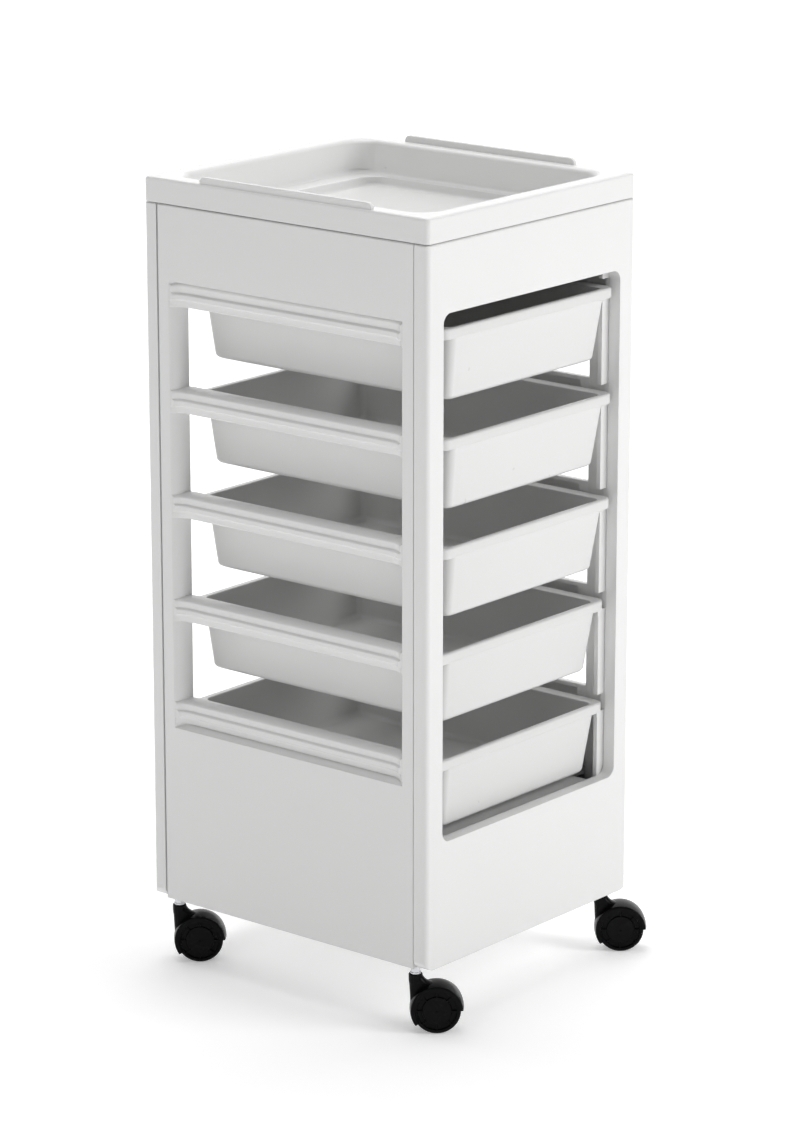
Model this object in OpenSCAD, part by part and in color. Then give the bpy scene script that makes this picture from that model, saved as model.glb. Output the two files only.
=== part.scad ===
// Rolling salon trolley: five tray drawers in a moulded open cabinet on four twin-wheel castors.
// The drawers open towards -Y, +X is to the right of that front, +Z is up.
// The origin is on the floor, under the middle of the cabinet.

/* [Cabinet] */
// Width of the cabinet across the front
body_w = 340; // [330:5:360]
// Depth of the cabinet from front to rear
body_d = 380; // [375:5:400]
// Height of the cabinet from its bottom edge to the rim of the top tray
body_h = 785; // [780:5:800]
// Radius of the cabinet's four upright corners
corner_r = 5; // [3:1:5]
// Wall thickness of the moulded frames and panels
wall = 3; // [2.5:0.5:3.5]

/* [Front and rear frames] */
// Thickness of a frame around its window
frame_t = 14; // [12:1:15]
// Depth of the returns that wrap round onto the sides
frame_return = 18; // [17:1:19]
// Width of a frame on each side of its window
frame_side = 24.5; // [23:0.5:25]
// Height of the window's lower edge above the cabinet's bottom edge
window_low = 134; // [125:1:135]
// Height of the window's upper edge above the cabinet's bottom edge
window_high = 686; // [685:1:700]
// Corner radius of the window
window_r = 11; // [6:1:14]
// Radius of a frame's two bottom corners
foot_r = 10; // [5:1:12]

/* [Side panels] */
// Thickness of a side panel
panel_t = 20; // [18:1:22]
// Distance from the cabinet's front or rear face to the recess in a side panel
recess_inset = 33; // [32:1:36]
// Depth of the recess at the lowest rib of a bar
recess_depth = 8; // [7:0.5:9]
// Length over which each bar curves out to the edge of the recess
cove_len = 20; // [16:1:24]
// Height of a crossbar
bar_h = 27; // [26:1:28]
// Height of the uppermost bar's top above the cabinet's bottom edge
bar_top = 678; // [676:1:680]
// Distance from one bar to the next
pitch = 113; // [110:1:114]
// Width of the gap line between panel, frames and tray
seam = 1.6; // [0.8:0.1:1.8]
// How much wider that gap is in front of the rear frame
rear_seam_extra = 1.4; // [0:0.2:1.6]

/* [Top tray] */
// Height of the tray's outer wall
tray_h = 26; // [22:1:30]
// Width of the flat rim around the basin
rim_w = 20; // [19:1:24]
// Corner radius of the basin
basin_r = 26; // [20:1:32]
// Depth of the ledge along the basin's rear wall
ledge_deep = 36; // [34:1:38]
// Depth of the basin's floor
basin_deep = 47; // [44:1:50]
// Width of that ledge
ledge_w = 24; // [12:1:28]
// Height of the two grips on the tray's side edges
grip_h = 7; // [6:1:12]
// Length of each grip
grip_len = 230; // [180:5:260]

/* [Drawers] */
// Width of a drawer over its rim
drawer_w = 282; // [278:1:284]
// Length of a drawer over its rim
drawer_len = 342; // [330:1:345]
// Height of a drawer from its bottom to the top of its rim
drawer_h = 77; // [70:1:80]
// Height of the rim's turned-down lip
lip_h = 11; // [9:0.5:11]
// Wall thickness of a drawer
drawer_wall = 2.4; // [2:0.1:3]
// Plan radius of the rim's corners
drawer_r = 10; // [8:1:14]
// Distance from the cabinet's front face to the rim of each drawer, uppermost first
drawer_back = [3, 3, 3, 10, 10];

/* [Castors] */
// Height from the floor to the cabinet's bottom edge
castor_h = 72; // [72:1:80]
// Diameter of a castor wheel
wheel_d = 50; // [46:1:50]
// Distance from the swivel axis to the wheel's axle
trail = 22; // [20:0.5:23]
// Direction in which the wheels trail, turned about +Z from +X
trail_angle = -50; // [-180:5:180]
// Distance from the cabinet's side face to a swivel axis
swivel_in_x = 12; // [12:0.5:14]
// Distance from the cabinet's front or rear face to a swivel axis
swivel_in_y = 25; // [24:0.5:26]

/* [Hidden] */
castor_names = ["front_left", "front_right", "rear_left", "rear_right"];

shell_white = "#eeeeec";
drawer_white = "#e6e6e3";
castor_black = "#1b1b1c";
zinc = "#b9bcc0";

drawer_count = 5;
panel_h = body_h - tray_h - 1;           // height of frames and side panels, under the tray
recess_y = body_d / 2 - recess_inset;    // half length of the recess in a side panel
cove_y = recess_y - cove_len;            // half length of a bar's straight stretch
panel_y = body_d / 2 - frame_return - seam / 2;  // half length of a panel's outer face
flange_y = body_d / 2 - frame_t - 0.3;   // half length of a panel over its hidden flanges
flange_out = wall + 9;                   // where those flanges begin, under the frames' returns
socket_out = wall + 3.5;                 // the same beside a castor socket
socket_h = 50;                           // height of the block that holds a castor socket
flange_s = 36;                           // how far they reach in from the outer face
ledge_s = 37;                            // how far a runner ledge reaches in
slot_s = 24;                             // where the slot for a drawer's rim begins
socket_block = 28;                       // width of the block that holds a castor socket
window_h = window_high - window_low;
window_w = body_w - 2 * frame_side;
sill_drop = 4.5;                         // height of the bevel below the lowest bar
rim_below_bar = 9.5;                     // a drawer's rim lies this far below its bar's top
ledge_below_bar = rim_below_bar + lip_h + 0.3;
channel_top = 4.2;                       // thickness of a bar above its runner channel
screw_r = 1.7;
clear_r = 1.9;                           // radius of a clearance hole for a screw
head_r = 3.4;
head_h = 2.4;
screw_len = 14;
frame_screw_z = [62, 112, window_high + 36];
frame_screw_s = 29;                      // inward from the outer side face
tray_screw_s = 10;
tray_screw_y = 118;
base_screw_s = 13;
base_screw_y = [-110, 0, 110];

basin_w = body_w - 2 * rim_w;
basin_d = body_d - 2 * rim_w;
ledge_z = body_h - ledge_deep;
basin_floor_z = body_h - basin_deep;
basin_step = 3;                          // how far the basin's deep part is set in
edge_bevel = 1.2;                        // bevel along the upper edge under the tray
rail_t = 4;                              // thickness of a side panel's top rail
mark_y = 129;                            // place of the moulding mark along the basin's wall

wheel_r = wheel_d / 2;
web = 2;                                 // half thickness of the web between the wheels
wheel_in = web + 0.6;                    // inner face of a wheel
wheel_out = 12.6;                        // outer face of a wheel
hood_half = 14.4;                        // half width of the hood
hood_r = wheel_r + 3.4;                  // radius of the hood over its crown
crown = 1.6;                             // how much the cover falls away towards its sides
cavity_r = wheel_r + 0.9;
neck_r = 7.3;
neck_top = castor_h - 9;
stem_r = 4;
axle_r = 2;

function bar_z(i) = bar_top - i * pitch;             // top of bar i, uppermost is 0
function rim_z(i) = bar_z(i) - rim_below_bar;        // top of the rim of drawer i

// ---------- shared helpers ----------

// Everything above the castors is drawn from the cabinet's bottom edge
module cabinet() translate([0, 0, castor_h]) children();

// The same child on the left and, mirrored, on the right
module both_sides() {
    children();
    mirror([1, 0, 0]) children();
}

// The same child at the front and, mirrored, at the rear
module both_ends() {
    children();
    mirror([0, 1, 0]) children();
}

module rounded_rect(w, h, r) {
    square([w - 2 * r, h], center = true);
    square([w, h - 2 * r], center = true);
    for (x = [-1, 1], y = [-1, 1])
        translate([x * (w / 2 - r), y * (h / 2 - r)]) circle(r = r, $fn = 48);
}

module rounded_slab(w, d, r, low, high)
    translate([0, 0, low]) linear_extrude(high - low) rounded_rect(w, d, r);

// A 2-D outline in X and Z, made solid along Y from y0 to y1
module along_y(y0, y1)
    translate([0, y1, 0]) rotate([90, 0, 0]) linear_extrude(y1 - y0) children();

// Room that the tray's basin needs inside the cabinet
module basin_room()
    rounded_slab(basin_w + 2 * wall + 1, basin_d + 2 * wall + 1, basin_r + wall + 0.5,
        basin_floor_z - wall - 1, body_h);

// What the bevel takes off one side's upper edge, at the distance out from the middle
module bevel_cut(out)
    along_y(-body_d, body_d) translate([-out, panel_h])
        polygon([[-1, -1 - edge_bevel], [1 + edge_bevel, 1], [-1, 1]]);

module top_bevel() {
    both_sides() bevel_cut(body_w / 2);
    rotate([0, 0, 90]) both_sides() bevel_cut(body_d / 2);
}

// A pan-head screw whose head sits on z = 0 and whose shank points to +Z
module screw() {
    translate([0, 0, -head_h]) cylinder(r = head_r, h = head_h, $fn = 32);
    cylinder(r = screw_r, h = screw_len, $fn = 24);
}

// ---------- front and rear frames ----------

module window_outline(grow)
    translate([0, window_low + window_h / 2])
        rounded_rect(window_w + 2 * grow, window_h + 2 * grow, window_r + grow);

// Outline of a frame seen from the front, with its two bottom corners rounded
module frame_outline(inset) {
    w = body_w - 2 * inset;
    r = foot_r - inset;
    translate([-w / 2, inset + r]) square([w, panel_h - 2 * inset - r]);
    translate([-w / 2 + r, inset]) square([w - 2 * r, r + 1]);
    for (x = [-1, 1]) translate([x * (w / 2 - r), inset + r]) circle(r = r, $fn = 48);
}

module frame_blank(reach) {
    front = -body_d / 2;
    intersection() {
        along_y(front, front + reach) frame_outline(0);
        translate([0, front + body_d / 2, 0])
            rounded_slab(body_w, body_d, corner_r, -1, body_h);
    }
}

module screw_boss() rotate([-90, 0, 0]) cylinder(r = 4.2, h = frame_t - wall + 0.5, $fn = 32);

// A frame whose returns wrap round onto the sides as far as reach
module end_frame(reach) {
    front = -body_d / 2;
    back = front + frame_t;
    difference() {
        union() {
            difference() {
                frame_blank(reach);
                // hollow behind the front wall, open to the inside
                along_y(front + wall, back + 1) difference() {
                    frame_outline(wall);
                    window_outline(wall);
                }
                // room between the two returns
                along_y(back, front + reach + 1)
                    translate([-body_w / 2 + wall, -1]) square([body_w - 2 * wall, body_h]);
            }
            for (x = [-1, 1], z = frame_screw_z)
                translate([x * (body_w / 2 - frame_screw_s), front + wall - 0.5, z])
                    screw_boss();
        }
        along_y(front - 1, back + 1) window_outline(0);
        basin_room();
        top_bevel();
        for (x = [-1, 1], z = frame_screw_z)
            translate([x * (body_w / 2 - frame_screw_s), front + wall, z])
                rotate([-90, 0, 0]) cylinder(r = screw_r + 0.05, h = frame_t, $fn = 24);
    }
}

module front_frame() color(shell_white) cabinet() end_frame(frame_return);
module rear_frame() color(shell_white) cabinet()
    mirror([0, 1, 0]) end_frame(frame_return - rear_seam_extra);

// ---------- side panels, drawn on the left: s runs inwards from the outer face ----------

// Outer side of a bar in s and z, from its rounded top down over three stepped ribs
function bar_skin() = concat(
    [for (a = [0:7.5:90]) [panel_t - (panel_t - 6.5) * sin(a), -5 * (1 - cos(a))]],
    [[7, -11.2], [5.3, -12.8], [5, -13.6], [5.2, -18], [6, -19], [recess_depth - 0.4, -19.4],
     [recess_depth, -bar_h + 0.8], [recess_depth + 0.8, -bar_h]]);

module bar_section(end_s)
    polygon(concat(bar_skin(), [[end_s, -bar_h], [end_s, -ledge_below_bar],
        [12, -ledge_below_bar], [12, -channel_top], [21.5, -channel_top], [21.5, -0.6]]));

// The part of the section that curves outwards with the cove at each end
module bar_end_section(drop)
    polygon(concat(bar_skin(), [[recess_depth + 0.8, -bar_h - drop], [16, -bar_h - drop],
        [21.5, -bar_h], [21.5, -0.6]]));

// One crossbar: a straight stretch, and two ends that curve out to the recess's edge
module crossbar(drop) {
    r = (cove_len * cove_len + recess_depth * recess_depth) / (2 * recess_depth) - 2;
    rotate([90, 0, 0]) linear_extrude(2 * cove_y, center = true) bar_section(ledge_s);
    intersection() {
        both_ends() translate([recess_depth - r, cove_y - 0.01, 0])
            rotate_extrude(angle = 45, $fn = 96) translate([r - recess_depth, 0]) bar_end_section(drop);
        translate([0, -recess_y - 0.4, -bar_h - drop - 1])
            cube([panel_t + 1.5, 2 * recess_y + 0.8, bar_h + drop + 2]);
    }
    // the runner ledge goes on to both flanges
    translate([12, -flange_y, -bar_h]) cube([ledge_s - 12, 2 * flange_y, bar_h - ledge_below_bar]);
}

// Upright end post of the panel, its inner edge rounded towards the openings
module end_post() {
    edge_r = 26.7;
    inner = recess_y - 9;
    intersection() {
        translate([0, inner, 0]) cube([panel_t, panel_y - inner, panel_h]);
        translate([panel_t, inner + edge_r, -1]) cylinder(r = edge_r, h = panel_h + 2, $fn = 96);
    }
    // hidden flange behind the frame
    translate([flange_out, panel_y - 0.6, 0])
        cube([flange_s - flange_out, flange_y - panel_y + 0.6, panel_h]);
    // block that holds the castor socket
    translate([0, inner, 0]) cube([socket_block, panel_y - inner, socket_h]);
    translate([socket_out, panel_y - 0.6, 0])
        cube([socket_block - socket_out, flange_y - panel_y + 0.6, socket_h]);
}

module panel_walls() {
    low = bar_z(drawer_count - 1) - bar_h;
    skin = wall + 0.5;
    // lower plate, closed by a bevelled sill under the lowest bar
    along_y(-panel_y, panel_y) polygon([[0, 0], [0, low - sill_drop], [recess_depth, low],
        [panel_t, low], [panel_t, low - 4], [recess_depth, low - 4],
        [skin, low - sill_drop - 3], [skin, 4], [panel_t, 4], [panel_t, 0]]);
    // upper plate, whose lower edge stands out over the top bar
    upper = bar_top + 0.4;
    along_y(-panel_y, panel_y) polygon([[0, upper], [0, panel_h], [panel_t, panel_h],
        [panel_t, panel_h - rail_t], [skin, panel_h - rail_t], [skin, upper + 4],
        [panel_t, upper + 4], [panel_t, upper]]);
    // rail that carries the inner floor
    translate([skin - 0.5, -recess_y, window_low - 12]) cube([9, 2 * recess_y, 4]);
}

module side_panel() {
    translate([-body_w / 2, 0, 0]) difference() {
        union() {
            panel_walls();
            both_ends() end_post();
            for (i = [0 : drawer_count - 1])
                translate([0, 0, bar_z(i)]) crossbar(i == drawer_count - 1 ? sill_drop + 0.5 : 0);
        }
        both_ends() {
            for (i = [0 : drawer_count - 1])
                translate([slot_s, panel_y - 1, bar_z(i) - ledge_below_bar])
                    cube([20, 10, ledge_below_bar - 2]);
            for (z = frame_screw_z)
                translate([frame_screw_s, panel_y - 2, z])
                    rotate([-90, 0, 0]) cylinder(r = clear_r, h = 10, $fn = 24);
            translate([swivel_in_x, body_d / 2 - swivel_in_y, -1])
                cylinder(r = 7.02, h = 45, $fn = 48);
            translate([tray_screw_s, tray_screw_y, panel_h - rail_t - 1])
                cylinder(r = clear_r, h = rail_t + 2, $fn = 24);
        }
        translate([body_w / 2, 0, 0]) {
            basin_room();
            top_bevel();
        }
        for (y = base_screw_y)
            translate([base_screw_s, y, -1]) cylinder(r = clear_r, h = 6, $fn = 24);
    }
}

module left_side_panel() color(shell_white) cabinet() side_panel();
module right_side_panel() color(shell_white) cabinet() mirror([1, 0, 0]) side_panel();

// ---------- floors ----------

// Floor panel under the lowest drawer, notched round the four end posts
module inner_floor() {
    half_w = body_w / 2 - wall - 0.8;
    notch_w = 38;
    color(shell_white) cabinet() difference() {
        translate([-half_w, -flange_y, window_low - 7.8]) cube([2 * half_w, 2 * flange_y, 3]);
        both_sides() both_ends()
            translate([half_w - notch_w, recess_y - 10, window_low - 9]) cube([60, 60, 6]);
    }
}

// Ribbed plate that ties the cabinet together at the bottom
module base_plate() {
    half_w = body_w / 2 - 6;
    half_d = flange_y;
    notch = flange_s + 1;
    color(shell_white) cabinet() difference() {
        union() {
            translate([-half_w, -half_d, 4.2]) cube([2 * half_w, 2 * half_d, 3.2]);
            for (x = [-100, 0, 100]) translate([x - 1.5, -half_d, 4.2]) cube([3, 2 * half_d, 16]);
            for (y = [-120, 0, 120]) translate([-half_w + 16, y - 1.5, 4.2])
                cube([2 * half_w - 32, 3, 16]);
            both_sides() for (y = base_screw_y)
                translate([body_w / 2 - base_screw_s, y, 4.2]) cylinder(r = 4.2, h = 14, $fn = 32);
        }
        both_sides() both_ends()
            translate([body_w / 2 - notch, recess_y - 11, 0]) cube([60, 60, 30]);
        both_sides() for (y = base_screw_y)
            translate([body_w / 2 - base_screw_s, y, 3])
                cylinder(r = screw_r + 0.05, h = 30, $fn = 24);
    }
}

// ---------- top tray ----------

module tray_blank() {
    edge_r = 2.5;
    low = body_h - tray_h;
    intersection() {
        rounded_slab(body_w, body_d, corner_r, low, body_h);
        along_y(-body_d, body_d) translate([0, body_h / 2]) rounded_rect(body_w, body_h, edge_r);
        rotate([0, 0, 90]) along_y(-body_w, body_w)
            translate([0, body_h / 2]) rounded_rect(body_d, body_h, edge_r);
    }
}

module grip() {
    r = 7;
    thick = 5;
    translate([-body_w / 2 + 2.5, -grip_len / 2, body_h - 2]) {
        translate([0, r, 0]) cube([thick, grip_len - 2 * r, grip_h + 2]);
        cube([thick, grip_len, grip_h + 2 - r]);
        for (y = [r, grip_len - r]) translate([0, y, grip_h + 2 - r])
            rotate([0, 90, 0]) cylinder(r = r, h = thick, $fn = 48);
    }
}

// The basin's deep part, in front of the ledge
module deep_part(grow, low, high)
    translate([0, -(ledge_w - basin_step) / 2, 0])
        rounded_slab(basin_w - 2 * basin_step + 2 * grow, basin_d - basin_step - ledge_w + 2 * grow,
            basin_r - basin_step + grow, low, high);

module top_tray() {
    low = body_h - tray_h;
    color(shell_white) cabinet() difference() {
        union() {
            difference() {
                tray_blank();
                rounded_slab(body_w - 2 * wall, body_d - 2 * wall, corner_r - 2, low - 1, body_h - wall);
            }
            both_sides() grip();
            rounded_slab(basin_w + 2 * wall, basin_d + 2 * wall, basin_r + wall,
                ledge_z - wall, body_h - 1);
            deep_part(wall, basin_floor_z - wall, ledge_z);
            both_sides() both_ends()
                translate([body_w / 2 - tray_screw_s, tray_screw_y, panel_h + 0.2])
                    cylinder(r = 4.2, h = tray_h - wall + 1, $fn = 32);
        }
        rounded_slab(basin_w, basin_d, basin_r, ledge_z, body_h + 1);
        deep_part(0, basin_floor_z, body_h);
        both_sides() both_ends() translate([body_w / 2 - tray_screw_s, tray_screw_y, panel_h])
            cylinder(r = screw_r + 0.05, h = screw_len - rail_t + 0.5, $fn = 24);
        // small round moulding mark at the foot of the basin's right wall
        translate([basin_w / 2 - 1, mark_y, ledge_z + 1])
            rotate([0, 90, 0]) cylinder(r = 2.4, h = 1.7, $fn = 32);
    }
}

// ---------- drawers ----------

// Tapered tub: its top opening is set in from the rim, and it narrows towards the bottom
module tub(shrink, low, round_r) {
    top_w = drawer_w - 25 - 2 * shrink;
    top_d = drawer_len - 12 - 2 * shrink;
    taper_w = 14;
    taper_d = 18;
    depth = -low;
    hull() for (step = [[0, 0], [1 - round_r / depth, 0], [1 - 0.3 * round_r / depth, 1], [1, 3]]) {
        f = step[0];
        w = top_w - taper_w * f - step[1] * round_r * 0.6;
        d = top_d - taper_d * f - step[1] * round_r * 0.6;
        translate([0, 0, low * f]) linear_extrude(0.01) rounded_rect(w, d, drawer_r - 1 - shrink, $fn = 32);
    }
}

module drawer(i) {
    front = -body_d / 2 + drawer_back[i];
    color(drawer_white) cabinet() translate([0, front + drawer_len / 2, rim_z(i)]) difference() {
        union() {
            difference() {
                rounded_slab(drawer_w, drawer_len, drawer_r, -lip_h, 0);
                rounded_slab(drawer_w - 2 * drawer_wall, drawer_len - 2 * drawer_wall,
                    drawer_r - drawer_wall, -lip_h - 1, -drawer_wall);
            }
            translate([0, 0, -0.2]) tub(0, -drawer_h + 0.2, 5);
        }
        translate([0, 0, 0.3]) tub(drawer_wall, -drawer_h + drawer_wall - 0.3, 4);
    }
}

// ---------- castors: swivel axis at x = y = 0, wheels trail to +X, floor at z = 0 ----------

module at_castor(i) {
    x = i % 2 == 0 ? -1 : 1;
    y = i < 2 ? -1 : 1;
    translate([x * (body_w / 2 - swivel_in_x), y * (body_d / 2 - swivel_in_y), 0])
        rotate([0, 0, trail_angle]) children();
}

// A ring or disc turned about the axle, from an outline in radius and distance along the axle
module on_axle() translate([trail, 0, wheel_r]) rotate([90, 0, 0]) children();

// Crowned cover over both wheels
module hood_crown() {
    flat = hood_half * 0.45;
    on_axle() rotate_extrude($fn = 96) polygon([[0, -hood_half], [hood_r - crown, -hood_half],
        [hood_r, -flat], [hood_r, flat], [hood_r - crown, hood_half], [0, hood_half]]);
}

// What is kept of the hood, seen from the side
module hood_outline()
    polygon([[-20, 30], [-7, 19], [-4.5, 12.5], [1.5, 9.5], [9, 14],
        [trail - 5, wheel_r - 5], [trail + 5, wheel_r - 5], [trail + hood_r - 2.5, wheel_r],
        [trail + hood_r + 1, wheel_r + 4], [trail + hood_r + 1, neck_top], [-20, neck_top]]);

// Flowing shoulder from the neck into the crown
module neck_outline()
    polygon(concat([[0, 30], [0, neck_top - 3]],
        [for (a = [0:15:90]) [neck_r + 8.5 - 9 * cos(a), neck_top - 3 - 7 * sin(a)]],
        [[trail, neck_top - 10.5], [trail, 30]]));

module hood() {
    apron_in = 3.5;          // the apron starts this far behind the neck's front
    skirt = 1.2;             // wall at the side of the cover
    color(castor_black) difference() {
        intersection() {
            union() {
                hood_crown();
                translate([0, 0, 30]) cylinder(r = neck_r, h = neck_top - 30, $fn = 64);
                along_y(-5, 5) neck_outline();
                translate([-neck_r + apron_in, -hood_half + 2.5, 8])
                    cube([12, 2 * hood_half - 5, 30]);
            }
            along_y(-hood_half - 1, hood_half + 1) hood_outline();
        }
        for (side = [-1, 1]) on_axle() {
            translate([0, 0, side > 0 ? web : -hood_half + skirt])
                cylinder(r = cavity_r, h = hood_half - skirt - web, $fn = 96);
            translate([0, 0, side > 0 ? web : -hood_half - 1])
                cylinder(r = wheel_r - 2.2, h = hood_half + 1 - web, $fn = 96);
        }
        translate([0, 0, neck_top - 17]) cylinder(r = stem_r + 0.05, h = 18, $fn = 48);
        translate([0, 0, neck_top - 1.6]) cylinder(r = 6.1, h = 2, $fn = 48);
        on_axle() translate([0, 0, -web - 1]) cylinder(r = axle_r + 0.01, h = 2 * web + 2, $fn = 32);
    }
}

module wheel() {
    ring_in = wheel_r * 0.6;
    ring_out = wheel_r * 0.84;
    color(castor_black) on_axle() difference() {
        union() {
            rotate_extrude($fn = 96) polygon(concat(
                [[0, wheel_in], [wheel_r - 1.2, wheel_in], [wheel_r, wheel_in + 1.2]],
                [for (a = [0:15:90]) [wheel_r - 3 + 3 * cos(a), wheel_out - 3 + 3 * sin(a)]],
                [[ring_out, wheel_out], [ring_out - 0.5, wheel_out - 2.4],
                 [ring_in + 0.5, wheel_out - 2.4], [ring_in, wheel_out - 0.6],
                 [0, wheel_out - 0.2]]));
            for (a = [0:45:315]) rotate([0, 0, a]) translate([ring_in - 0.4, -0.6, wheel_out - 3])
                cube([ring_out - ring_in + 0.8, 1.2, 2.6]);
        }
        translate([0, 0, wheel_in - 1]) cylinder(r = axle_r + 0.05, h = 8, $fn = 32);
    }
}

// Steel stem with the bright collar that shows on top of the neck
module stem() color(zinc) {
    translate([0, 0, neck_top - 16.7]) cylinder(r = stem_r, h = 20, $fn = 48);
    translate([0, 0, neck_top - 1.3]) cylinder(r = 5.75, h = 3, $fn = 48);
    difference() {
        translate([0, 0, neck_top + 1]) cylinder(r = 5, h = 44, $fn = 48);
        translate([0, 0, neck_top + 36]) difference() {
            cylinder(r = 6, h = 3.2, $fn = 48);
            cylinder(r = 4.3, h = 3.2, $fn = 48);
        }
    }
}

// Split ring that snaps the stem into its socket
module grip_ring() color(zinc)
    translate([0, 0, neck_top + 36.2]) rotate([0, 0, 20])
        rotate_extrude(angle = 320, $fn = 64) translate([4.35, 0]) square([0.7, 2.8]);

module axle() color(zinc)
    on_axle() translate([0, 0, 3.4 - wheel_out])
        cylinder(r = axle_r, h = 2 * wheel_out - 6.8, $fn = 32);

module castor_sockets() color(zinc)
    for (i = [0:3]) at_castor(i) difference() {
        union() {
            translate([0, 0, castor_h]) cylinder(r = 7, h = 43, $fn = 48);
            translate([0, 0, castor_h - 1.6]) cylinder(r = 8, h = 1.6, $fn = 48);
        }
        translate([0, 0, castor_h - 3]) cylinder(r = 5.1, h = 50, $fn = 48);
    }

// ---------- screws ----------

// They join the side panels' flanges to both frames, and are reached from inside
module frame_screws() color(zinc) cabinet()
    both_sides() both_ends() for (z = frame_screw_z)
        translate([body_w / 2 - frame_screw_s, panel_y - 0.6, z]) rotate([-90, 0, 0]) screw();

module tray_screws() color(zinc) cabinet()
    both_sides() both_ends()
        translate([body_w / 2 - tray_screw_s, tray_screw_y, panel_h - rail_t]) screw();

module base_screws() color(zinc) cabinet()
    both_sides() for (y = base_screw_y) translate([body_w / 2 - base_screw_s, y, 0]) screw();

// ---------- drawing ----------

top_tray();
front_frame();
rear_frame();
left_side_panel();
right_side_panel();
inner_floor();
base_plate();
castor_sockets();
frame_screws();
tray_screws();
base_screws();
for (i = [0 : drawer_count - 1])
    drawer(i);
for (i = [0:3]) {
    c = str("castor_", castor_names[i], "_");
    at_castor(i) stem();
    at_castor(i) grip_ring();
    at_castor(i) hood();
    at_castor(i) axle();
    at_castor(i) wheel();
    at_castor(i) mirror([0, 1, 0]) wheel();
}
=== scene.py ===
"""Looks of the rolling salon trolley: soft-edged mouldings, plastics, studio light and camera."""

import math

import bmesh
import bpy
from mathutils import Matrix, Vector


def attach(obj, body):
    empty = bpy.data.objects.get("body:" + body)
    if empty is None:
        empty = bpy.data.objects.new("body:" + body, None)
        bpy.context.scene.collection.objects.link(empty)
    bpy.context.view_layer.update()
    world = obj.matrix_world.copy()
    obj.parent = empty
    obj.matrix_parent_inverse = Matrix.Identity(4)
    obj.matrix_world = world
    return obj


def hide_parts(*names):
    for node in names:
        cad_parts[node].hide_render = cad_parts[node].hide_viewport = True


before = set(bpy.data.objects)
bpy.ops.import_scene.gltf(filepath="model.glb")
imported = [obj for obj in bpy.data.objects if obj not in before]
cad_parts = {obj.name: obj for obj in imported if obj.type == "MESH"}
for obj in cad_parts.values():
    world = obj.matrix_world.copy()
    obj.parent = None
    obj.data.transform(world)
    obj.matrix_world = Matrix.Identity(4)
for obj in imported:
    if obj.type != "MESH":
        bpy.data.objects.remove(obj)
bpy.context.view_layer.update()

MM = 0.001
FRONT = -190.0          # y of the cabinet's front face, in mm
SIDE = 170.0            # half width of the cabinet
RIM_TOP = 857.0         # top of the tray's rim
MARK_Y = 129.0          # moulding mark in the basin
PITCH = 113.0           # from one drawer to the next
BAR_TOP = 750.0         # top of the uppermost bar
DRAWER_BACK = (3, 3, 3, 10, 10)         # each drawer's front behind the cabinet's, top first
CASTORS = ("front_left", "front_right", "rear_left", "rear_right")
CASTOR_X, CASTOR_Y = 158.0, 165.0       # swivel axis from the cabinet's middle
TRAIL = 22.0                            # axle behind the swivel axis
TRAIL_ANGLE = math.radians(-50)
WHEEL_R = 25.0
VIEW_TURN = -0.8789                     # camera's turn about Z


# ---------- materials ----------

def noise(nodes, links, coords, scale, detail):
    """Factor output of a noise texture in object coordinates."""
    texture = nodes.new("ShaderNodeTexNoise")
    texture.inputs["Scale"].default_value = scale
    texture.inputs["Detail"].default_value = detail
    links.new(coords.outputs["Object"], texture.inputs["Vector"])
    return texture.outputs["Fac"]


def node_material(name, color, rough, tint=0.02, rough_span=0.06, grain=0.0, grain_scale=900.0,
                  metallic=0.0, edge=0.0, specular=0.5):
    """Plastic or metal with slight colour and roughness variation; grain is a fine bump, and
    edge is the radius, in m, of a shaded bevel on the CAD pieces' edges."""
    mat = bpy.data.materials.new(name)
    mat.use_nodes = True
    tree = mat.node_tree
    nodes, links = tree.nodes, tree.links
    shader = nodes["Principled BSDF"]
    shader.inputs["Metallic"].default_value = metallic
    shader.inputs["Specular IOR Level"].default_value = specular
    coords = nodes.new("ShaderNodeTexCoord")
    ramp = nodes.new("ShaderNodeValToRGB")
    low = [c * (1 - tint) for c in color]
    high = [min(1.0, c * (1 + tint)) for c in color]
    ramp.color_ramp.elements[0].position = 0.3
    ramp.color_ramp.elements[0].color = (*low, 1)
    ramp.color_ramp.elements[1].position = 0.7
    ramp.color_ramp.elements[1].color = (*high, 1)
    links.new(noise(nodes, links, coords, 9.0, 1.0), ramp.inputs["Fac"])
    links.new(ramp.outputs["Color"], shader.inputs["Base Color"])
    spread = nodes.new("ShaderNodeMapRange")
    spread.inputs["To Min"].default_value = rough - rough_span
    spread.inputs["To Max"].default_value = rough + rough_span
    links.new(noise(nodes, links, coords, 60.0, 1.0), spread.inputs["Value"])
    links.new(spread.outputs["Result"], shader.inputs["Roughness"])
    normal = None
    if edge:
        soft = nodes.new("ShaderNodeBevel")
        soft.samples = 6
        soft.inputs["Radius"].default_value = edge
        normal = soft.outputs["Normal"]
    if grain:
        bump = nodes.new("ShaderNodeBump")
        bump.inputs["Strength"].default_value = grain
        bump.inputs["Distance"].default_value = 0.0002
        links.new(noise(nodes, links, coords, grain_scale, 2.0), bump.inputs["Height"])
        if normal:
            links.new(normal, bump.inputs["Normal"])
        normal = bump.outputs["Normal"]
    if normal:
        links.new(normal, shader.inputs["Normal"])
    return mat


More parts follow.
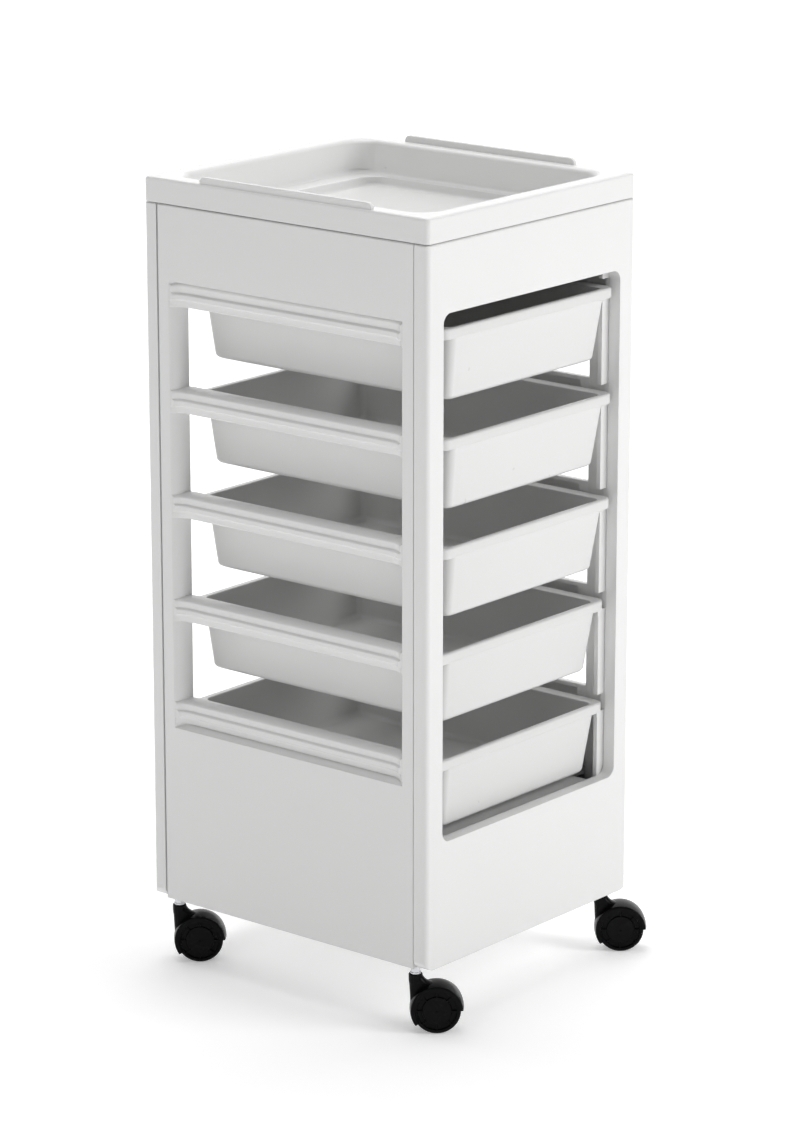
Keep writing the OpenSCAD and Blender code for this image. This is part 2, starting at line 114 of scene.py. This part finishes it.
SHELL_WHITE = (0.80, 0.80, 0.795)
BLACK = (0.003, 0.003, 0.0035)
SHELL = node_material("shell_plastic", SHELL_WHITE, 0.24, tint=0.004, rough_span=0.01,
                      specular=0.35)
SHELL_CAD = node_material("shell_plastic_cad", SHELL_WHITE, 0.24, tint=0.004, rough_span=0.01,
                          specular=0.35, edge=0.001)
# The drawers' plastic is darker than the shell's white; part of that darkness is painted shade on
# the drawers' sides and insides.
DRAWER_TONE_AND_PAINTED_SHADE = node_material("drawer_plastic_and_painted_shade", (0.70, 0.70, 0.695), 0.28, tint=0.004, rough_span=0.01)
INNER = node_material("inner_plastic", (0.72, 0.72, 0.715), 0.42, tint=0.01, grain=0.15)
HOOD = node_material("castor_plastic", BLACK, 0.24, tint=0.2, grain=0.15, grain_scale=1500.0,
                     specular=0.08)
WHEEL = node_material("wheel_plastic", BLACK, 0.28, tint=0.2, grain=0.15, grain_scale=1500.0,
                      specular=0.08, edge=0.0004)
STEEL = node_material("zinc_steel", (0.62, 0.63, 0.65), 0.28, tint=0.05, grain=0.2,
                      metallic=1.0)


def cad_material(name):
    """The material that the CAD node of this name wears."""
    if name.endswith(("_stem", "_grip_ring", "_axle", "_screws", "_sockets")):
        return STEEL
    if name.endswith("_hood"):
        return HOOD
    if "_wheel_" in name:
        return WHEEL
    if name.startswith("drawer_"):
        return DRAWER_TONE_AND_PAINTED_SHADE
    if name in ("inner_floor", "base_plate"):
        return INNER
    return SHELL_CAD


for name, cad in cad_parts.items():
    cad.data.materials.clear()
    cad.data.materials.append(cad_material(name))


# ---------- mesh helpers, all in mm ----------

def rounded_ring(half_w, half_d, r, steps):
    """Points of a rounded rectangle, counter-clockwise from the +X side."""
    r = max(0.05, min(r, half_w, half_d))
    points = []
    for sx, sy, start in ((1, 1, 0), (-1, 1, 90), (-1, -1, 180), (1, -1, 270)):
        for k in range(steps + 1):
            a = math.radians(start + 90 * k / steps)
            points.append((sx * (half_w - r) + r * math.cos(a),
                           sy * (half_d - r) + r * math.sin(a)))
    return points


def arc(cx, cz, r, start, end, steps):
    """Points (inset, z) along an arc, angles in degrees."""
    return [(cx + r * math.cos(math.radians(start + (end - start) * k / steps)),
             cz + r * math.sin(math.radians(start + (end - start) * k / steps)))
            for k in range(steps + 1)]


def finish_mesh(name, bm, material, body, weld=0.004):
    """Makes the mesh, in mm so far, a smooth-shaded piece that rides on a body."""
    bmesh.ops.remove_doubles(bm, verts=bm.verts, dist=weld)
    bmesh.ops.recalc_face_normals(bm, faces=bm.faces)
    bmesh.ops.scale(bm, vec=(MM, MM, MM), verts=bm.verts)
    mesh = bpy.data.meshes.new(name)
    bm.to_mesh(mesh)
    bm.free()
    mesh.shade_smooth()
    mesh.set_sharp_from_angle(angle=math.radians(32))
    mesh.materials.append(material)
    obj = bpy.data.objects.new(name, mesh)
    bpy.context.scene.collection.objects.link(obj)
    weighted = obj.modifiers.new("weighted", "WEIGHTED_NORMAL")
    weighted.keep_sharp = True
    weighted.weight = 80
    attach(obj, body)
    return obj


def loft(bm, rings):
    """Skins a list of equal-length point rings; caps the first and the last with one face."""
    made = [[bm.verts.new(p) for p in ring] for ring in rings]
    count = len(made[0])
    for a, b in zip(made, made[1:]):
        for k in range(count):
            n = (k + 1) % count
            bm.faces.new((a[k], a[n], b[n], b[k]))
    bm.faces.new(made[0][::-1])
    bm.faces.new(made[-1])


def slab_ring(y0, y1, half_w, r, z, steps):
    """Rounded rectangle between two y values at height z."""
    return [(x, (y0 + y1) / 2 + y, z)
            for x, y in rounded_ring(half_w, (y1 - y0) / 2, r, steps)]


def slab_from_outline(bm, outline, low, high, place):
    """A slab between two heights of an outline; place maps (a, b, height) to a point."""
    loft(bm, [[place(a, b, h) for a, b in outline] for h in (low, high)])


# ---------- top tray ----------

def top_tray():
    """Rim with a rolled inner edge, steep walls, a ledge along the rear and a deep floor."""
    top = RIM_TOP
    low = top - 26          # foot of the outer wall
    ledge = top - 36
    deep = top - 47         # basin floor
    half_d = -FRONT
    rings = []

    def add(points, r, rear=0.0):
        """points: (inset, z); rear is how much further in the rear side lies."""
        for inset, z in points:
            rings.append(slab_ring(-half_d + inset, half_d - inset - rear, SIDE - inset, r, z,
                                   14))

    # underside, from the middle outwards
    add([(27, deep - 3), (21, deep - 3), (21, ledge - 3)], 24, 20)
    add([(18, ledge - 3), (17.5, top - 3)], 28)
    add([(3.0, top - 3), (3.0, low)], 3)
    # outer wall and its soft upper edge
    add([(0.4, low), (0.0, low + 0.5), (0.0, top - 2.6)], 5)
    add(arc(2.6, top - 2.6, 2.6, 180, 90, 6)[1:], 5)
    # rim, its rolled inner edge and the wall down to the ledge
    add([(17.5, top)], 30)
    add(arc(17.5, top - 5, 5, 90, 8, 7)[1:], 26)
    add([(23.5, ledge + 5)], 25)
    add(arc(28.5, ledge + 5, 5, 180, 262, 6)[1:], 22)
    # ledge along the rear; the other walls go on down to the floor
    add([(28.2, ledge - 0.3)], 21, 9)
    add(arc(27.4, ledge - 2.4, 2.0, 80, 10, 4), 20, 17.5)
    add([(29.4, deep + 5)], 19, 17.5)
    add(arc(34.4, deep + 5, 5, 185, 270, 6)[1:], 17, 17.5)
    bm = bmesh.new()
    loft(bm, rings)
    obj = finish_mesh("tray_moulding", bm, SHELL, "cabinet")
    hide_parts("top_tray")


def tray_mark():
    """Small round moulding mark at the foot of the basin's right wall."""
    bm = bmesh.new()
    rings = []
    for h, r in ((-0.6, 2.5), (0.25, 2.5), (0.4, 2.3), (0.4, 1.7), (-0.1, 1.3)):
        rings.append([(SIDE - 23.4 - h, MARK_Y + r * math.cos(a), RIM_TOP - 29 + r * math.sin(a))
                      for a in (math.radians(15 * k) for k in range(24))])
    loft(bm, rings)
    finish_mesh("tray_mark", bm, SHELL, "cabinet")


def grip(sign):
    """Low upright strip with rounded upper corners along one side of the rim."""
    length = 230.0
    height = 7.0
    r = 6.0
    outline = [(-length / 2, -1.0), (length / 2, -1.0)]
    for k in range(9):
        a = math.radians(90 * k / 8)
        outline.append((length / 2 - r + r * math.cos(a), height - r + r * math.sin(a)))
    for k in range(9):
        a = math.radians(90 + 90 * k / 8)
        outline.append((-length / 2 + r + r * math.cos(a), height - r + r * math.sin(a)))
    bm = bmesh.new()
    x0, x1 = SIDE - 7.5, SIDE - 2.5
    slab_from_outline(bm, outline, x0, x1, lambda a, b, h: (sign * h, a, RIM_TOP + b))
    bmesh.ops.recalc_face_normals(bm, faces=bm.faces)
    rim = [e for e in bm.edges if abs(e.verts[0].co.x - e.verts[1].co.x) < 1e-6]
    bmesh.ops.bevel(bm, geom=rim, offset=1.3, segments=4, profile=0.5, affect="EDGES",
                    clamp_overlap=True)
    side = "right" if sign > 0 else "left"
    finish_mesh(f"tray_grip_{side}", bm, SHELL, "cabinet")


# ---------- drawers ----------

def drawer(i):
    """Thin moulding: a tapered tub whose front runs up flush into the rim's turned-down lip."""
    top = BAR_TOP - PITCH * i - 9.5
    half_w, length, depth = 141.0, 342.0, 77.0
    front = FRONT + DRAWER_BACK[i]
    bottom = top - depth
    wall = 2.4
    lip = 11.0
    rings = []

    def ring(ix, iy, r, z, front_in=None):
        y0 = front + (iy if front_in is None else front_in)
        rings.append(slab_ring(y0, front + length - iy, half_w - ix, r, z, 9))

    def tub(points, extra, r):
        """Rings of the tapered wall, moved inwards by extra; points: (more inset, z)."""
        for out, z in points:
            f = (top - z) / depth
            ring(12.5 + 7.0 * f + extra + out, 6.0 + 9.0 * f + extra + out, r, z,
                 0.2 + 11.0 * f + extra + out)

    round_out = 5.0
    tub([(round_out - round_out * math.sin(math.radians(a)),
          bottom + round_out - round_out * math.cos(math.radians(a)))
         for a in (0, 18, 36, 54, 72, 90)], 0, 8)
    tub([(0, top - 12), (0, top - wall - 1.5)], 0, 9)
    # underside of the rim, the lip and its soft edges
    ring(11.0, 5.0, 9, top - wall, 0.9)
    ring(wall, wall, 7.6, top - wall, 0.9)
    ring(wall, wall, 7.6, top - lip + 0.4, 1.3)
    ring(wall - 0.5, wall - 0.5, 8.1, top - lip, 1.2)
    ring(0.6, 0.6, 9.4, top - lip)
    ring(0.0, 0.0, 10, top - lip + 0.6)
    for a, b in arc(2.2, top - 2.2, 2.2, 180, 90, 5):
        ring(a, a, 10 - a * 0.6, b)
    # inner edge of the rim, then the inner wall down to the floor
    for a, b in arc(0, top - 1.6, 1.6, 90, 10, 4):
        ring(13.3 + a, 6.8 + a, 9, b, 4.4 + a * 0.4)
    tub([(0, top - 4.5)], wall, 7)
    inner = bottom + wall
    round_in = 6.0
    tub([(round_in - round_in * math.cos(math.radians(a)),
          inner + round_in - round_in * math.sin(math.radians(a)))
         for a in (0, 18, 36, 54, 72, 90)], wall, 6.2)
    bm = bmesh.new()
    loft(bm, rings)
    obj = finish_mesh(f"drawer_moulding_{i + 1}", bm, DRAWER_TONE_AND_PAINTED_SHADE, f"drawer_{i + 1}")
    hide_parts(f"drawer_{i + 1}")


# ---------- castor hoods ----------

def at_castor(i):
    """Maps a point of the castor, wheels trailing to +X, to the row frame in mm."""
    x0 = CASTOR_X * (-1 if i % 2 == 0 else 1)
    y0 = CASTOR_Y * (-1 if i < 2 else 1)
    c, s = math.cos(TRAIL_ANGLE), math.sin(TRAIL_ANGLE)
    return lambda x, y, z: (x0 + c * x - s * y, y0 + s * x + c * y, z)


def hood_cover(bm, place):
    """Crowned cover with side skirts, swept round the axle from the tail to the front apron."""
    half = 14.4
    section = [(22.8, half), (25.2, half), (26.2, half - 0.15), (26.9, half - 0.55),
               (27.3, half - 1.2)]
    for k in range(1, 8):
        w = (half - 1.2) * (1 - k / 4)
        section.append((28.4 - 1.1 * (w / (half - 1.2)) ** 2, w))
    section += [(r, -w) for r, w in section[4::-1]]
    section += [(22.8, -half + 1.2), (25.9, -half + 1.2), (26.0, -half + 1.7),
                (26.0, half - 1.7), (25.9, half - 1.2), (22.8, half - 1.2)]
    rings = []
    for k in range(45):
        a = math.radians(2 + 213 * k / 44)
        rings.append([place(TRAIL + r * math.cos(a), w, WHEEL_R + r * math.sin(a))
                      for r, w in section])
    loft(bm, rings)


def hood_web(bm, place):
    """Web between the two wheels that carries the axle."""
    outline = [(TRAIL + 5, WHEEL_R - 5), (TRAIL + 26, WHEEL_R)]
    for k in range(25):
        a = math.radians(4 + 206 * k / 24)
        outline.append((TRAIL + 26.4 * math.cos(a), WHEEL_R + 26.4 * math.sin(a)))
    outline += [(1.5, 10), (9, 14), (TRAIL - 5, WHEEL_R - 5)]
    slab_from_outline(bm, outline, -2, 2, lambda a, b, h: place(a, h, b))


def hood_neck(bm, place):
    """Round neck whose rear flows down into the crown; rows: height, rear, half width."""
    rings = []
    rows = [(30, 24, 5.5), (46, 24, 6.3), (51.2, 22, 6.6), (52.4, 19.5, 6.8), (53.3, 16.4, 7.0),
            (54.6, 13.2, 7.15), (56.4, 10.6, 7.25), (58.6, 8.7, 7.3), (60.4, 7.7, 7.3),
            (61.9, 7.3, 7.3), (62.6, 7.1, 7.1), (63.0, 6.5, 6.5)]
    for z, back, half_d in rows:
        centre = (back - half_d) / 2
        rings.append([place(centre + x, y, z)
                      for x, y in rounded_ring((back + half_d) / 2, half_d, half_d, 8)])
    loft(bm, rings)


def hood(i):
    """Castor hood as one piece: cover, web and neck run into one another."""
    place = at_castor(i)
    bm = bmesh.new()
    for part in (hood_cover, hood_web, hood_neck):
        part(bm, place)
    name = CASTORS[i]
    obj = finish_mesh(f"castor_cover_{name}", bm, HOOD, f"{name}_swivel", weld=0.0005)
    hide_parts(f"castor_{name}_hood")


top_tray()
tray_mark()
for sign in (-1, 1):
    grip(sign)
for i in range(len(DRAWER_BACK)):
    drawer(i)
for i in range(len(CASTORS)):
    hood(i)


# ---------- stage, light and camera ----------

def stage_floor():
    """Pale floor, square to the camera's view, that curves up into the backdrop; in m."""
    bm = bmesh.new()
    far, bend, half = 2.5, 1.5, 7.0
    profile = [(-6.0, 0.0), (far, 0.0)]
    for k in range(1, 13):
        a = math.radians(90 * k / 12)
        profile.append((far + bend * math.sin(a), bend - bend * math.cos(a)))
    profile.append((far + bend, 7.0))
    across = Vector((math.cos(VIEW_TURN), math.sin(VIEW_TURN), 0))
    away = Vector((-across.y, across.x, 0))
    rows = []
    for s in (-half, half):
        rows.append([bm.verts.new(across * s + away * d + Vector((0, 0, z)))
                     for d, z in profile])
    for k in range(len(profile) - 1):
        bm.faces.new((rows[0][k], rows[1][k], rows[1][k + 1], rows[0][k + 1]))
    mesh = bpy.data.meshes.new("studio_sweep")
    bm.to_mesh(mesh)
    bm.free()
    mesh.shade_smooth()
    floor = bpy.data.objects.new("studio_sweep", mesh)
    bpy.context.scene.collection.objects.link(floor)
    paper = bpy.data.materials.new("studio_paper")
    paper.use_nodes = True
    shader = paper.node_tree.nodes["Principled BSDF"]
    shader.inputs["Base Color"].default_value = (0.9, 0.9, 0.9, 1)
    shader.inputs["Roughness"].default_value = 0.9
    shader.inputs["Specular IOR Level"].default_value = 0.1
    shader.inputs["Emission Color"].default_value = (1, 1, 1, 1)
    # the paper glows less near the object, so its shadow shows
    reach = paper.node_tree.nodes.new("ShaderNodeVectorMath")
    reach.operation = "LENGTH"
    place = paper.node_tree.nodes.new("ShaderNodeTexCoord")
    glow = paper.node_tree.nodes.new("ShaderNodeMapRange")
    glow.interpolation_type = "SMOOTHSTEP"
    glow.inputs["From Min"].default_value = 0.35
    glow.inputs["From Max"].default_value = 1.6
    glow.inputs["To Min"].default_value = 0.30
    glow.inputs["To Max"].default_value = 0.62
    link = paper.node_tree.links.new
    link(place.outputs["Object"], reach.inputs[0])
    link(reach.outputs["Value"], glow.inputs["Value"])
    link(glow.outputs["Result"], shader.inputs["Emission Strength"])
    mesh.materials.append(paper)


def area_light(name, place, target, size, power):
    """Rectangular light of a width and a height in m, aimed at a point."""
    data = bpy.data.lights.new(name, "AREA")
    data.shape = "RECTANGLE"
    data.size, data.size_y = size
    data.energy = power
    lamp = bpy.data.objects.new(name, data)
    lamp.location = place
    aim = Vector(target) - Vector(place)
    lamp.rotation_euler = aim.to_track_quat("-Z", "Y").to_euler()
    bpy.context.scene.collection.objects.link(lamp)


stage_floor()
area_light("key_front", (1.1, -3.2, 1.9), (0, 0, 0.5), (1.6, 2.0), 60)
area_light("side_soft", (-3.4, -0.4, 1.5), (0, 0, 0.45), (1.6, 1.8), 16)
area_light("top_soft", (0.2, 0.5, 3.2), (0, 0, 0.4), (2.2, 2.2), 46)

world = bpy.data.worlds.new("studio")
world.use_nodes = True
background = world.node_tree.nodes["Background"]
background.inputs["Color"].default_value = (1, 1, 1, 1)
background.inputs["Strength"].default_value = 0.16
bpy.context.scene.world = world
bpy.context.scene.view_settings.view_transform = "Standard"

camera_data = bpy.data.cameras.new("camera")
camera_data.lens = 137.54
camera_data.sensor_width = 36.0
camera = bpy.data.objects.new("camera", camera_data)
camera.location = (-3.3964, -2.8279, 1.6476)
camera.rotation_euler = (math.pi / 2 - 0.2674, 0, VIEW_TURN)
bpy.context.scene.collection.objects.link(camera)
bpy.context.scene.camera = camera
